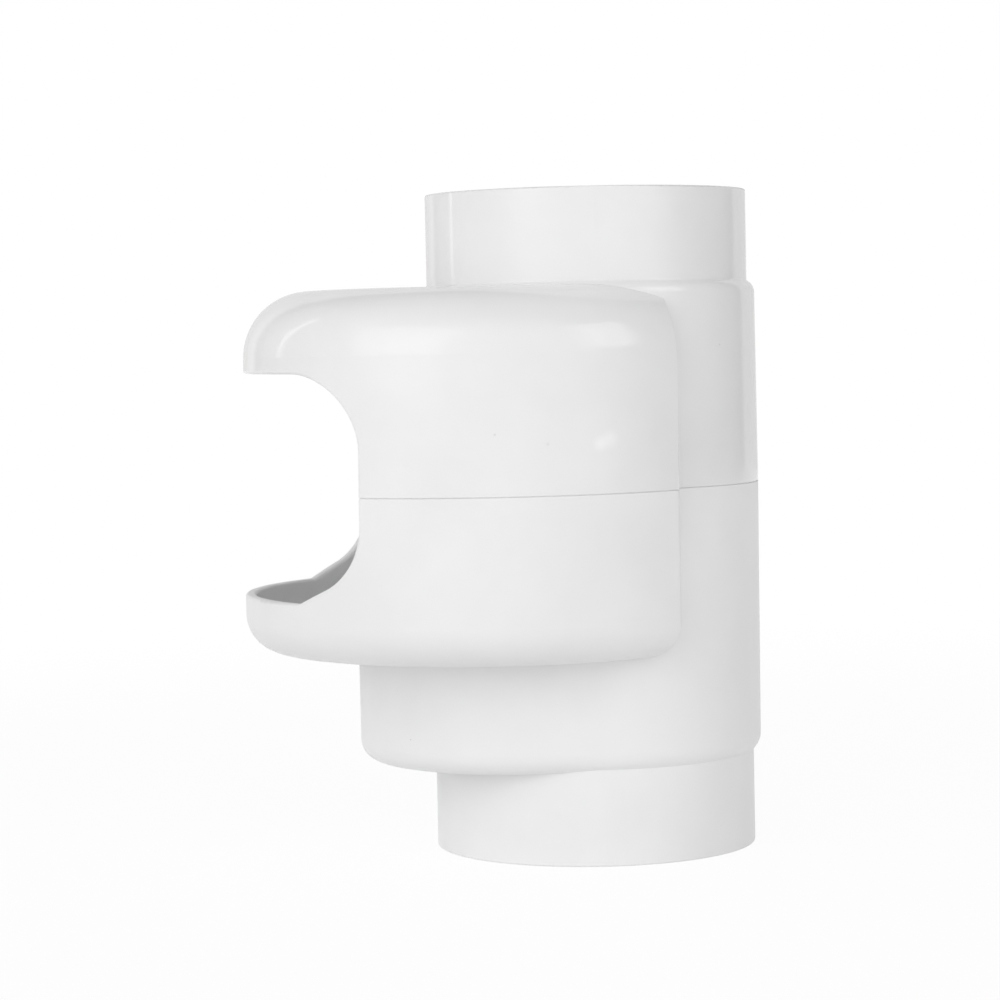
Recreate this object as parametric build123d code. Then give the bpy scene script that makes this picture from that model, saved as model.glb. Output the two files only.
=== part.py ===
from build123d import *
from math import acos, asin, cos, degrees, radians, sin, tan
import os

# Tank air gap fitting, moulded in white PVC: water falls from the inlet socket
# through an open chamber into the outlet socket, and anything that backs up from
# below spills over the cup's rim instead of reaching the inlet.
# Z is up and the mouth faces -Y. The origin is on the pipe axis at the outlet's rim.
# Sizes are in millimetres and angles in degrees.

# Sockets for 90 mm stormwater pipe
pipe_diameter = 90.0
pipe_clearance = 0.6
socket_wall = 3.2
inlet_length = 28.2
outlet_length = 27.0
pipe_stop = 3.4
socket_lead = 0.8
rim_edge = 0.5

# Moulding: the hood's roof is a little thicker than the walls
wall = 3.2
hood_roof = 3.8
least_round = 1.0

# Heights, each measured up from the one before it
well_depth = 34.0
cup_depth = 17.6
mouth_height = 66.4
hood_depth = 24.4
# The weld's height over the cup's rim
seam_rise = 31.1

# Chamber: a stadium in plan, its back round the pipe axis
chamber_radius = 51.1
chamber_reach = 20.6
chamber_draft = 0.3
well_round = 6.0
shoulder_round = 4.0
shoulder_rise = 1.1
neck_round = 0.8

# Drum that carries the hood and the cup: round in plan, with a flat back
drum_radius = 76.0
drum_reach = 29.3
drum_back = 22.8
back_edge = 3.4
back_bend = 65.0
hood_draft = 1.3
hood_round = 20.0
cup_round = 11.2

# Mouth: its flanks are cut square to the drum's wall, and its outline is drawn in
# the flank's own plane, from the upright side edge towards the nose
flank_angle = 42.0
flank_side = 13.0
hood_sweep = 27.0
hood_rise = 23.0
rim_run = 23.9
rim_slope = 22.0
rim_bend = 20.0
rim_corner = 2.0
mouth_edge = 1.0

# Weld seam: the lower shell's tongue stands in the upper shell's rebate
tongue_height = 3.0
tongue_thickness = 1.4
tongue_clearance = 0.15
tongue_setback = 2.0
notch_height = 1.4
notch_depth = 0.7
groove_height = 0.3
groove_depth = 0.35

# Levels
well_base = outlet_length
cup_base = well_base + well_depth
cup_rim = cup_base + cup_depth
seam = cup_rim + seam_rise
hood_lip = cup_rim + mouth_height
top = hood_lip + hood_depth
inlet_rim = top + inlet_length

# Sizes that follow from the ones above
bore_radius = (pipe_diameter + pipe_clearance) / 2
socket_radius = bore_radius + socket_wall
stop_radius = bore_radius - pipe_stop
past_all = 2 * (drum_radius + drum_reach)
hair = 0.05


def skin_round(outer, skin):
    return outer if skin == 0 else max(outer - skin, least_round)


def rounded(sketch, corner, radius):
    return fillet(sketch.vertices().sort_by_distance(corner)[0], radius)


def turned(section):
    return revolve(Plane.XZ * section, Axis.Z)


# Plan of the drum and of the chamber, set in by skin for their insides
def drum_plan(skin):
    disc = Pos(0, -drum_reach) * Circle(drum_radius - skin)
    ahead = Pos(0, drum_back - skin - past_all / 2) * Rectangle(past_all, past_all)
    return disc & ahead


def chamber_plan(skin):
    radius = chamber_radius - skin
    waist = Pos(0, -chamber_reach / 2) * Rectangle(2 * radius, chamber_reach)
    return Circle(radius) + Pos(0, -chamber_reach) * Circle(radius) + waist


def seam_block(skin, height):
    return Pos(0, 0, seam) * extrude(drum_plan(skin) + chamber_plan(skin), height)


# Drum from the cup's underside to the hood's top. Its lower edge is rounded all
# round, its upper edge everywhere but at the back, which is flat up to the hood's lip
# and bends in above it
def drum_form(skin, roof):
    low = cup_base + skin
    high = top - roof
    radius = drum_radius - skin
    high_radius = radius - (high - seam) * tan(radians(hood_draft))
    section = make_face(Polyline((0, low), (radius, low), (radius, seam), (high_radius, high), (0, high), close=True))
    section = rounded(section, (radius, low), skin_round(cup_round, skin))
    section = rounded(section, (high_radius, high), skin_round(hood_round, skin))

    back = drum_back - skin
    bend = back_bend - skin
    lean = CenterArc((back - bend, hood_lip), bend, 0, degrees(asin((high - hood_lip) / bend)))
    rest = Polyline(lean @ 1, (back - past_all, high), (back - past_all, low), (back, low), lean @ 0)
    side = rounded(make_face([lean, rest]), (back, low), skin_round(cup_round, skin))
    return (Pos(0, -drum_reach) * turned(section)) & extrude(Plane.YZ * side, past_all / 2, both=True)


# Outside of the drum. The rounds on its upright back corners run a hair past the
# faces they join, so that they cross them
def drum_outside():
    radius = drum_radius - back_edge
    lean = degrees(asin((drum_reach + drum_back - back_edge) / radius))
    inner = CenterArc((0, 0), back_edge + hair, lean, 90 - lean)
    outer = CenterArc((0, 0), 3 * back_edge, lean, 90 - lean)
    wedge = make_face([inner, outer, Line(inner @ 0, outer @ 0), Line(inner @ 1, outer @ 1)])
    corner = Pos(radius * cos(radians(lean)), drum_back - back_edge, well_base) * extrude(wedge, top)
    return drum_form(0, 0) - corner - mirror(corner, Plane.YZ)


# Chamber below the seam
def well_form(skin):
    low = well_base + skin
    block = Pos(0, 0, seam) * extrude(chamber_plan(skin), low - seam, taper=chamber_draft)
    return fillet(block.edges().group_by(Axis.Z)[0], skin_round(well_round, skin))


# Back of the chamber above the seam, with the inlet socket on it. A hollow round at
# the socket's foot runs into the shoulder's round, with a flat between if there is room
def column_form():
    shoulder_radius = chamber_radius - (top - seam) * tan(radians(chamber_draft))
    ledge = shoulder_radius - socket_radius
    rounds = neck_round + shoulder_round
    turn = degrees(acos(max(0.0, 1 - ledge / rounds)))
    shoulder_level = top + shoulder_rise - shoulder_round
    neck_level = shoulder_level + rounds * sin(radians(turn))
    shoulder = CenterArc((shoulder_radius - shoulder_round, shoulder_level), shoulder_round, 0, turn)
    neck = CenterArc((socket_radius + neck_round, neck_level), neck_round, 180, turn)
    walls = Polyline(neck @ 0, (socket_radius, inlet_rim), (0, inlet_rim), (0, seam), (chamber_radius, seam), shoulder @ 0)
    outline = [shoulder, neck, walls]
    if ledge > rounds:
        outline.append(Line(shoulder @ 1, neck @ 1))
    return turned(make_face(outline))


def column_hollow():
    high = top - wall
    low_radius = chamber_radius - wall
    high_radius = low_radius - (high - seam) * tan(radians(chamber_draft))
    section = make_face(Polyline((0, seam), (low_radius, seam), (high_radius, high), (0, high), close=True))
    return turned(rounded(section, (high_radius, high), least_round))


# Pipe bore from past its stop ledge to past its rim, with the lead-in at the rim
def bore(ledge, rim):
    way = 1 if rim > ledge else -1
    inner_end = ledge - way * 2 * wall
    outer_end = rim + way * socket_lead
    outline = Polyline(
        (0, inner_end),
        (stop_radius, inner_end),
        (stop_radius, ledge),
        (bore_radius, ledge),
        (bore_radius, rim - way * socket_lead),
        (bore_radius + 2 * socket_lead, outer_end),
        (0, outer_end),
        close=True,
    )
    return turned(make_face(outline))


# Anything drawn in the flank's plane is cut in through the drum's wall on both sides
def through_flanks(section):
    out = Vector(cos(radians(flank_angle)), -sin(radians(flank_angle)), 0)
    along = Vector(-sin(radians(flank_angle)), -cos(radians(flank_angle)), 0)
    start = drum_radius + wall
    plane = Plane(origin=Vector(0, -drum_reach, 0) + out * start, x_dir=along, z_dir=out * -1)
    flank = extrude(plane * section, start - 3 * wall)
    return flank + mirror(flank, Plane.YZ)


def mouth_cut():
    corner = rim_run - flank_side
    side_foot = cup_rim + rim_run * tan(radians(rim_slope))
    sweep_centre = (hood_sweep - flank_side, hood_lip - hood_rise)
    sweep = EllipticalCenterArc(sweep_centre, hood_sweep, hood_rise, start_angle=90, arc_size=90)
    rest = Polyline(
        sweep @ 0,
        (past_all, hood_lip),
        (past_all, cup_rim),
        (corner, cup_rim),
        (-flank_side, side_foot),
        sweep @ 1,
    )
    section = rounded(make_face([sweep, rest]), (corner, cup_rim), rim_corner)
    return through_flanks(rounded(section, (-flank_side, side_foot), rim_bend))


# Small notch where the seam meets the mouth's side edge
def notch_cut():
    slope = notch_height / notch_depth
    mouth_side = -flank_side + wall
    spread = (wall + notch_depth) * slope
    section = Polyline(
        (-flank_side - notch_depth, seam),
        (mouth_side, seam + spread),
        (mouth_side, seam - spread),
        close=True,
    )
    return through_flanks(make_face(section))


# Fine groove that the seam leaves all round the outside
def groove_cut():
    core = drum_plan(groove_depth)
    core = fillet(core.vertices(), back_edge - groove_depth) + chamber_plan(groove_depth)
    slab = Pos(0, 0, seam) * Box(2 * past_all, 2 * past_all, groove_height)
    return slab - Pos(0, 0, seam - groove_height) * extrude(core, 2 * groove_height)


# Long edges round the mouth, inside and outside, but not those across the wall
def is_mouth_edge(edge):
    spot = edge.center()
    run = -abs(spot.X) * sin(radians(flank_angle)) - (spot.Y + drum_reach) * cos(radians(flank_angle))
    in_height = cup_rim - hair < spot.Z < hood_lip + hair
    return in_height and run > -flank_side - hair and edge.length > 1.5 * wall


def finish_rim(shell, level):
    rim = shell.edges().filter_by(GeomType.CIRCLE).filter_by_position(Axis.Z, level - hair, level + hair)
    return fillet(rim.sort_by(SortBy.RADIUS)[-1], rim_edge)


def seam_tongue(mouth):
    ring = seam_block(wall - tongue_thickness, tongue_height) - seam_block(wall, tongue_height)
    return ring - Pos(0, tongue_setback, 0) * mouth


def seam_rebate(mouth):
    block = seam_block(wall - tongue_thickness - tongue_clearance, tongue_height + tongue_clearance)
    return block - Pos(0, tongue_setback - tongue_clearance, 0) * mouth


# Upper shell: hood, chamber top and inlet socket
def make_upper_shell(mouth):
    seam_plane = Plane.XY.offset(seam)
    hood = split(drum_outside(), seam_plane, keep=Keep.TOP) - mouth
    hood_hollow = split(drum_form(wall, hood_roof), seam_plane, keep=Keep.TOP)
    shell = hood + column_form() - bore(top, inlet_rim) - hood_hollow - column_hollow()
    shell = fillet(shell.edges().filter_by(is_mouth_edge), mouth_edge)
    shell = shell - seam_rebate(mouth) - notch_cut() - groove_cut()
    return finish_rim(shell, inlet_rim)


# Lower shell: cup, chamber well and outlet socket
def make_lower_shell(mouth):
    seam_plane = Plane.XY.offset(seam)
    cup = split(drum_outside(), seam_plane, keep=Keep.BOTTOM) - mouth
    cup_hollow = split(drum_form(wall, hood_roof), seam_plane, keep=Keep.BOTTOM)
    outlet = extrude(Circle(socket_radius), well_base + wall)
    shell = cup + well_form(0) + outlet - bore(well_base, 0) - cup_hollow - well_form(wall)
    shell = fillet(shell.edges().filter_by(is_mouth_edge), mouth_edge)
    shell = shell + seam_tongue(mouth) - notch_cut() - groove_cut()
    return finish_rim(shell, 0)


mouth = mouth_cut()
shells = {
    "upper_shell": make_upper_shell(mouth),
    "lower_shell": make_lower_shell(mouth),
}

os.makedirs("parts", exist_ok=True)
for name, shell in shells.items():
    print(name, "volume", round(shell.volume), "valid", shell.is_valid, "solids", len(shell.solids()))
    export_step(shell, f"parts/{name}.step")
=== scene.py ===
import math

import bpy
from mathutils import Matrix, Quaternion, Vector

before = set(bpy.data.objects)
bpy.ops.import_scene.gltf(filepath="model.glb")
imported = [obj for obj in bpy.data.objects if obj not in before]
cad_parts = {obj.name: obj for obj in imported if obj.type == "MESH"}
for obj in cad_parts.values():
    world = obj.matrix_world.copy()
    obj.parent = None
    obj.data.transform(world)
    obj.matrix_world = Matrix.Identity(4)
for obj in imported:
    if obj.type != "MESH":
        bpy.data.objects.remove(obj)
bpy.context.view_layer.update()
scene = bpy.context.scene
print("frame loaded:", sorted(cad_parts))


def srgb(code):
    # hex colour to the linear one that Blender works in
    channels = [int(code[i:i + 2], 16) / 255 for i in (1, 3, 5)]
    linear = [c / 12.92 if c <= 0.04045 else ((c + 0.055) / 1.055) ** 2.4 for c in channels]
    return (*linear, 1)


def addNode(tree, kind, settings=None, links=None):
    # one node with its own settings, its socket values and what runs into it
    node = tree.nodes.new(kind)
    for name, value in (settings or {}).items():
        if isinstance(name, str) and hasattr(node, name):
            setattr(node, name, value)
        else:
            node.inputs[name].default_value = value
    for name, source in (links or {}).items():
        tree.links.new(source, node.inputs[name])
    return node


def newMaterial(name):
    material = bpy.data.materials.new(name)
    material.use_nodes = True
    material.node_tree.nodes.clear()
    return material, material.node_tree


# Camera: level with the hood, a metre away, looking along -X at the mouth's side
cameraView = {
    "eye": (0.9422, -0.0514, 0.1558),
    "target": (0, -0.0275, 0.10495),
    "roll": 1.166,      # degrees, the horizon falls to the right
    "lens": 111.58,     # mm, as the sensor's width
    "sensor": 36,
    "clipNear": 0.05,
    "clipFar": 60,
}


def makeCamera(view):
    data = bpy.data.cameras.new("camera")
    data.lens = view["lens"]
    data.sensor_width = view["sensor"]
    data.clip_start = view["clipNear"]
    data.clip_end = view["clipFar"]
    body = bpy.data.objects.new("camera", data)
    scene.collection.objects.link(body)
    eye = Vector(view["eye"])
    look = (Vector(view["target"]) - eye).to_track_quat("-Z", "Y")
    body.rotation_mode = "QUATERNION"
    body.rotation_quaternion = look @ Quaternion((0, 0, 1), math.radians(-view["roll"]))
    body.location = eye
    scene.camera = body


makeCamera(cameraView)
print("camera made")


# Moulded PVC: an opaque, neutral white plastic. The gloss of the mould gives it clear,
# slightly wavy highlights, and the tool's draw direction faint upright streaks
upperFinish = {
    "name": "glossy moulded PVC",
    "white": "#eeeeee",
    "shade": "#eaeaea",      # where the melt cooled a little greyer
    "fleck": "#c4c4c4",      # dust specks in the resin
    "roughness": 0.10,
    "roughnessSpread": 0.03,
    "ior": 1.53,
    "flowSize": 38,          # mm, clouds of the melt's flow
    "flowDetail": 3,
    "flowRoughness": 0.55,
    "flowRange": (0.35, 0.65),   # part of the noise that runs from white to shade
    "streakSize": 2.2,       # mm, width of a draw streak
    "streakScaleZ": 0.04,    # along the draw, against 1 across it
    "streakDetail": 2,
    "streakRange": (0.3, 0.7),   # part of the noise that runs from glossy to duller
    "peelSize": 5.0,         # mm, waviness of the mould's polish
    "peelHeight": 0.010,     # mm
    "peelDetail": 2,
    "fleckSpacing": 17,      # mm
    "fleckSize": 0.22,       # mm, radius
    "fleckCore": 0.6,        # share of that radius with the full colour
    "fleckShare": 0.35,      # share of the spots that hold a fleck
    # Spots on the hood's near flank, places in mm: two painted highlights, the glint of a lamp on the
    # flank, then two specks of dust
    "spots": [
        {"at": (70.0, -0.6, 124.0), "radius": 3.2, "colour": "#ffffff", "share": 0.46},
        {"at": (68.8, 2.1, 125.2), "radius": 3.8, "colour": "#ffffff", "share": 0.36},
        {"at": (75.56, -30.51, 127.34), "radius": 0.6, "colour": "#c4c4c4", "share": 0.45},
        {"at": (74.39, -15.66, 124.32), "radius": 0.7, "colour": "#c4c4c4", "share": 0.25},
    ],
}

# The lower shell left its mould with a duller, finer grained skin
lowerFinish = dict(
    upperFinish,
    name="satin moulded PVC",
    # white and shade a hair paler than the upper shell's: painted light, for the brighter light that
    # falls on the lower half
    white="#efefef",
    shade="#ebebeb",
    roughness=0.40,
    roughnessSpread=0.08,
    peelSize=2.4,
    peelHeight=0.008,
    spots=[],
)


def perMetre(millimetres):
    return 1000 / millimetres


def makePvc(finish):
    material, tree = newMaterial(finish["name"])
    place = addNode(tree, "ShaderNodeTexCoord").outputs["Object"]

    # soft clouds of tone
    flow = addNode(tree, "ShaderNodeTexNoise",
                   {"Scale": perMetre(finish["flowSize"]), "Detail": finish["flowDetail"],
                    "Roughness": finish["flowRoughness"]},
                   {"Vector": place})
    flowLow, flowHigh = finish["flowRange"]
    tone = addNode(tree, "ShaderNodeMapRange",
                   {"From Min": flowLow, "From Max": flowHigh}, {"Value": flow.outputs["Fac"]})
    skin = addNode(tree, "ShaderNodeMix",
                   {"data_type": "RGBA", 6: srgb(finish["white"]), 7: srgb(finish["shade"])},
                   {0: tone.outputs["Result"]})

    # flecks: one small dot in some cells of a Voronoi pattern
    cells = addNode(tree, "ShaderNodeTexVoronoi",
                    {"Scale": perMetre(finish["fleckSpacing"])}, {"Vector": place})
    fleckRadius = finish["fleckSize"] / finish["fleckSpacing"]
    dot = addNode(tree, "ShaderNodeMapRange",
                  {"From Min": fleckRadius * finish["fleckCore"], "From Max": fleckRadius,
                   "To Min": 1, "To Max": 0},
                  {"Value": cells.outputs["Distance"]})
    pick = addNode(tree, "ShaderNodeSeparateColor", None, {"Color": cells.outputs["Color"]})
    chosen = addNode(tree, "ShaderNodeMath",
                     {"operation": "LESS_THAN", 1: finish["fleckShare"]}, {0: pick.outputs["Red"]})
    fleck = addNode(tree, "ShaderNodeMath", {"operation": "MULTIPLY"},
                    {0: dot.outputs["Result"], 1: chosen.outputs["Value"]})
    colour = addNode(tree, "ShaderNodeMix",
                     {"data_type": "RGBA", 7: srgb(finish["fleck"])},
                     {0: fleck.outputs["Value"], 6: skin.outputs[2]}).outputs[2]

    # single spots, each fading out from its middle: the white ones are painted highlights, the grey
    # ones dust specks
    for spot in finish["spots"]:
        reach = addNode(tree, "ShaderNodeVectorMath",
                        {"operation": "DISTANCE", 1: Vector(spot["at"]) / 1000}, {0: place})
        share = addNode(tree, "ShaderNodeMapRange",
                        {"interpolation_type": "SMOOTHSTEP", "From Max": spot["radius"] / 1000,
                         "To Min": spot["share"], "To Max": 0},
                        {"Value": reach.outputs["Value"]})
        colour = addNode(tree, "ShaderNodeMix",
                         {"data_type": "RGBA", 7: srgb(spot["colour"])},
                         {0: share.outputs["Result"], 6: colour}).outputs[2]

    # draw streaks run along Z, so the pattern is stretched that way
    stretch = addNode(tree, "ShaderNodeMapping", {"Scale": (1, 1, finish["streakScaleZ"])},
                      {"Vector": place})
    streak = addNode(tree, "ShaderNodeTexNoise",
                     {"Scale": perMetre(finish["streakSize"]), "Detail": finish["streakDetail"]},
                     {"Vector": stretch.outputs["Vector"]})
    streakLow, streakHigh = finish["streakRange"]
    smoothest = finish["roughness"] - finish["roughnessSpread"] / 2
    rough = addNode(tree, "ShaderNodeMapRange",
                    {"From Min": streakLow, "From Max": streakHigh, "To Min": smoothest,
                     "To Max": smoothest + finish["roughnessSpread"]},
                    {"Value": streak.outputs["Fac"]})

    # waviness of the skin, seen only in what it reflects
    peel = addNode(tree, "ShaderNodeTexNoise",
                   {"Scale": perMetre(finish["peelSize"]), "Detail": finish["peelDetail"]},
                   {"Vector": place})
    bump = addNode(tree, "ShaderNodeBump",
                   {"Strength": 1, "Distance": finish["peelHeight"] / 1000},
                   {"Height": peel.outputs["Fac"]})

    shader = addNode(tree, "ShaderNodeBsdfPrincipled",
                     {"IOR": finish["ior"]},
                     {"Base Color": colour, "Roughness": rough.outputs["Result"],
                      "Normal": bump.outputs["Normal"]})
    addNode(tree, "ShaderNodeOutputMaterial", None, {"Surface": shader.outputs["BSDF"]})
    return material


def dress(node, material):
    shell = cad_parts[node]
    shell.data.materials.clear()
    shell.data.materials.append(material)


dress("upper_shell", makePvc(upperFinish))
dress("lower_shell", makePvc(lowerFinish))
print("shells dressed")


def seenBy(tree, rays):
    # 1 for the kinds of ray that are named, 0 for all others
    path = addNode(tree, "ShaderNodeLightPath")
    seen = path.outputs[rays[0]]
    for ray in rays[1:]:
        seen = addNode(tree, "ShaderNodeMath", {"operation": "MAXIMUM"},
                       {0: seen, 1: path.outputs[ray]}).outputs["Value"]
    return seen


# Pale floor: the camera sees it white, but it keeps the fitting's soft shadow
floorFinish = {
    "colour": "#fafafa",
    "size": 4.6,          # metres across
    "shadowShare": 0.06,  # how much of the floor near the fitting is lit like a real one
    "shadowReach": 0.30,  # metres from the axis where that starts to fade to plain white
    "fadeEnd": 0.75,      # metres from the axis where the fading ends
}


def makeFloor(finish):
    half = finish["size"] / 2
    mesh = bpy.data.meshes.new("floor")
    corners = [(-half, -half, 0), (half, -half, 0), (half, half, 0), (-half, half, 0)]
    mesh.from_pydata(corners, [], [(0, 1, 2, 3)])
    floor = bpy.data.objects.new("floor", mesh)
    scene.collection.objects.link(floor)
    material, tree = newMaterial("matt white studio floor")
    place = addNode(tree, "ShaderNodeTexCoord").outputs["Object"]
    reach = addNode(tree, "ShaderNodeVectorMath", {"operation": "LENGTH"}, {0: place})
    lit = addNode(tree, "ShaderNodeMapRange",
                  {"interpolation_type": "SMOOTHSTEP", "From Min": finish["shadowReach"],
                   "From Max": finish["fadeEnd"], "To Min": finish["shadowShare"], "To Max": 0},
                  {"Value": reach.outputs["Value"]})
    seen = seenBy(tree, ("Is Camera Ray", "Is Glossy Ray", "Is Transmission Ray"))
    unseen = addNode(tree, "ShaderNodeMath", {"operation": "SUBTRACT", 0: 1}, {1: seen})
    share = addNode(tree, "ShaderNodeMath", {"operation": "MAXIMUM"},
                    {0: lit.outputs["Result"], 1: unseen.outputs["Value"]})
    matt = addNode(tree, "ShaderNodeBsdfDiffuse", {"Color": srgb(finish["colour"])})
    plain = addNode(tree, "ShaderNodeEmission", {"Strength": 1})
    mix = addNode(tree, "ShaderNodeMixShader", None,
                  {0: share.outputs["Value"], 1: plain.outputs["Emission"], 2: matt.outputs["BSDF"]})
    addNode(tree, "ShaderNodeOutputMaterial", None, {"Surface": mix.outputs["Shader"]})
    mesh.materials.append(material)


makeFloor(floorFinish)

# Room: plain white to the camera. To the fitting it is dimmer, with a bright side before it,
# a bright side on the left, and the backdrop behind it, which shows in the gloss at its edges
roomLight = {
    "colour": "#ffffff",
    "fill": 0.38,        # from all round, for what scatters on the surface
    "gloss": 0.20,       # from all round, for what the surface mirrors
    # Each side is a round patch that fades out. Swing is the angle of its middle from the
    # camera's side (+X) towards the mouth (-Y). It starts and is full at so many degrees
    # from its middle
    "sides": {
        "front": {"swing": 0, "start": 72, "full": 37, "level": 0.86},
        "left": {"swing": 90, "start": 72, "full": 37, "level": 0.46},
        "backdrop": {"swing": 187, "start": 48, "full": 41, "level": 0.60},
    },
}


def heading(swing, rise=0):
    # the direction from the fitting out to something in the room
    swing, rise = math.radians(swing), math.radians(rise)
    return Vector((math.cos(swing) * math.cos(rise), -math.sin(swing) * math.cos(rise), math.sin(rise)))


def makeRoom(room):
    world = bpy.data.worlds.new("room")
    world.use_nodes = True
    tree = world.node_tree
    tree.nodes.clear()
    path = addNode(tree, "ShaderNodeLightPath")
    ray = addNode(tree, "ShaderNodeTexCoord").outputs["Generated"]
    level = addNode(tree, "ShaderNodeMapRange", {"To Min": room["fill"], "To Max": room["gloss"]},
                    {"Value": path.outputs["Is Glossy Ray"]}).outputs["Result"]
    for side in room["sides"].values():
        nearness = addNode(tree, "ShaderNodeVectorMath",
                           {"operation": "DOT_PRODUCT", 1: heading(side["swing"])}, {0: ray})
        share = addNode(tree, "ShaderNodeMapRange",
                        {"interpolation_type": "SMOOTHSTEP",
                         "From Min": math.cos(math.radians(side["start"])),
                         "From Max": math.cos(math.radians(side["full"])),
                         "To Max": side["level"]},
                        {"Value": nearness.outputs["Value"]})
        level = addNode(tree, "ShaderNodeMath", {"operation": "ADD"},
                        {0: level, 1: share.outputs["Result"]}).outputs["Value"]
    seen = seenBy(tree, ("Is Camera Ray", "Is Transmission Ray"))
    shown = addNode(tree, "ShaderNodeMix", {3: 1}, {0: seen, 2: level})
    glow = addNode(tree, "ShaderNodeBackground", {"Color": srgb(room["colour"])},
                   {"Strength": shown.outputs[0]})
    addNode(tree, "ShaderNodeOutputWorld", None, {"Surface": glow.outputs["Background"]})
    scene.world = world


makeRoom(roomLight)

# Soft boxes round the fitting. Swing is as above and rise is the angle above level, in
# degrees; size and distance are in metres. The glint lights no surface and only shows in
# the gloss
softBoxes = {
    "left key": {"swing": 44, "rise": 28, "distance": 1.3, "size": (1.0, 0.88), "watts": 1.88},
    "right fill": {"swing": -52, "rise": 28, "distance": 1.3, "size": (0.6, 0.8), "watts": 1.05},
    "right glint": {"swing": -58, "rise": 28, "distance": 1.25, "size": (0.5, 0.7), "watts": 0.8,
                    "glossOnly": True},
    "nose strip": {"swing": 113, "rise": 22, "distance": 1.3, "size": (0.08, 0.85), "watts": 0.25},
}
aim = Vector((0, -0.02, 0.1))


def hangLamp(name, box):
    data = bpy.data.lights.new(name, "AREA")
    data.shape = "RECTANGLE"
    data.size, data.size_y = box["size"]
    data.energy = box["watts"]
    lamp = bpy.data.objects.new(name, data)
    scene.collection.objects.link(lamp)
    way = heading(box["swing"], box["rise"])
    lamp.location = aim + way * box["distance"]
    lamp.rotation_mode = "QUATERNION"
    lamp.rotation_quaternion = (-way).to_track_quat("-Z", "Y")
    lamp.visible_diffuse = not box.get("glossOnly", False)


for name, box in softBoxes.items():
    hangLamp(name, box)
scene.view_settings.view_transform = "Standard"
print("studio lit")
